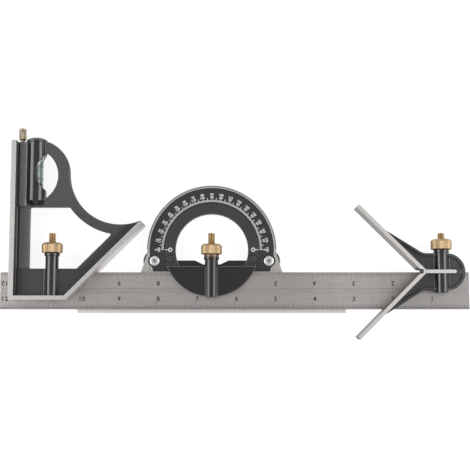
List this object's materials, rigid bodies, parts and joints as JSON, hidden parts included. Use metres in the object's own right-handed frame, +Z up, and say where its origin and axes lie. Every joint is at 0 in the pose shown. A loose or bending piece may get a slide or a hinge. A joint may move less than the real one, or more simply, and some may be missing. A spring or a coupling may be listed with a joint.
{
  "type": "combination square set",
  "caption": "Combination square set: grooved steel rule with sliding square, protractor and centre heads, spirit vial, scriber and knurled clamp nuts.",
  "frame": {"origin": "under the middle of the set, on the surface it lies on", "axes": "+X along the rule towards the centre head, +Y up the square head, +Z up from the surface towards the graduated faces"},
  "size_m": [0.3048, 0.1384, 0.0195],
  "materials": {
    "rule_steel": "fine brushed, satin",
    "head_iron": "black stove enamel with ground steel edges",
    "bare_steel": "ground",
    "brass": "knurled and turned",
    "spring_steel": "bright wire",
    "black_steel": "blacked, satin",
    "dial_black": "black with white graduations",
    "vial_glass": "clear",
    "spirit": "green spirit",
    "screw_steel": "plated, domed",
    "sleeve": "plain bush"
  },
  "bodies": {
    "rule": {"rule": "rule_steel"},
    "square_head": {"square_head_body": "head_iron", "vial_glass": "vial_glass", "vial_spirit": "spirit", "vial_cap": "black_steel", "scriber_sleeve": "sleeve", "square_clamp_spring": "spring_steel"},
    "scriber": {"scriber_needle": "bare_steel", "scriber_knob": "brass"},
    "square_bolt": {"square_clamp_bolt": "brass"},
    "square_nut": {"square_clamp_nut": "brass"},
    "turret": {"turret_back": "head_iron", "turret_front": "head_iron", "turret_plugs": "black_steel", "turret_screws": "black_steel", "protractor_clamp_spring": "spring_steel", "protractor_clamp_washer": "sleeve"},
    "protractor_bolt": {"protractor_clamp_bolt": "brass"},
    "protractor_nut": {"protractor_clamp_nut": "brass"},
    "protractor": {"protractor_body": "bare_steel", "protractor_lip": "bare_steel", "dial_plate": "dial_black", "lock_screws": "screw_steel", "foot_pins": "bare_steel"},
    "left_lock_nut": {"lock_nut_left": "black_steel"},
    "right_lock_nut": {"lock_nut_right": "black_steel"},
    "centre_head": {"centre_head_body": "head_iron", "centre_clamp_spring": "spring_steel"},
    "centre_bolt": {"centre_clamp_bolt": "brass"},
    "centre_nut": {"centre_clamp_nut": "brass"}
  },
  "joints": [
    {"name": "square_slide", "type": "slide", "parent": "rule", "child": "square_head", "axis": [1, 0, 0], "range_m": [-0.03, 0.003]},
    {"name": "scriber_draw", "type": "slide", "parent": "square_head", "child": "scriber", "axis": [0, 1, 0], "range_m": [0, 0.055]},
    {"name": "turret_slide", "type": "slide", "parent": "rule", "child": "turret", "axis": [1, 0, 0], "range_m": [-0.0035, 0.0045]},
    {"name": "protractor_swing", "type": "hinge", "parent": "turret", "child": "protractor", "pos_m": [-0.015, -0.01072, 0.00335], "axis": [0, 0, 1], "range_deg": [0, 150]},
    {"name": "centre_slide", "type": "slide", "parent": "rule", "child": "centre_head", "axis": [1, 0, 0], "range_m": [-0.015, 0.01]},
    {"name": "square_nut_turn", "type": "hinge", "parent": "square_head", "child": "square_nut", "pos_m": [-0.1183, -0.00972, 0.0126], "axis": [0, 1, 0], "range_deg": [0, 150]},
    {"name": "square_bolt_draw", "type": "slide", "parent": "square_head", "child": "square_bolt", "axis": [0, 1, 0], "range_m": [-0.00044, 0]},
    {"name": "protractor_nut_turn", "type": "hinge", "parent": "turret", "child": "protractor_nut", "pos_m": [-0.015, -0.00972, 0.0126], "axis": [0, 1, 0], "range_deg": [0, 150]},
    {"name": "protractor_bolt_draw", "type": "slide", "parent": "turret", "child": "protractor_bolt", "axis": [0, 1, 0], "range_m": [-0.00044, 0]},
    {"name": "centre_nut_turn", "type": "hinge", "parent": "centre_head", "child": "centre_nut", "pos_m": [0.1341, -0.00972, 0.0126], "axis": [0, 1, 0], "range_deg": [0, 150]},
    {"name": "centre_bolt_draw", "type": "slide", "parent": "centre_head", "child": "centre_bolt", "axis": [0, 1, 0], "range_m": [-0.00044, 0]},
    {"name": "left_lock_turn", "type": "hinge", "parent": "protractor", "child": "left_lock_nut", "pos_m": [-0.0525, -0.01802, 0.002], "axis": [0, 0, 1], "range_deg": [-180, 0]},
    {"name": "right_lock_turn", "type": "hinge", "parent": "protractor", "child": "right_lock_nut", "pos_m": [0.0225, -0.01802, 0.002], "axis": [0, 0, 1], "range_deg": [-180, 0]}
  ],
  "couplings": [
    {"joint": "square_nut_turn", "follows": "square_bolt_draw", "rad_per_m": -5938.7},
    {"joint": "protractor_nut_turn", "follows": "protractor_bolt_draw", "rad_per_m": -5938.7},
    {"joint": "centre_nut_turn", "follows": "centre_bolt_draw", "rad_per_m": -5938.7}
  ]
}
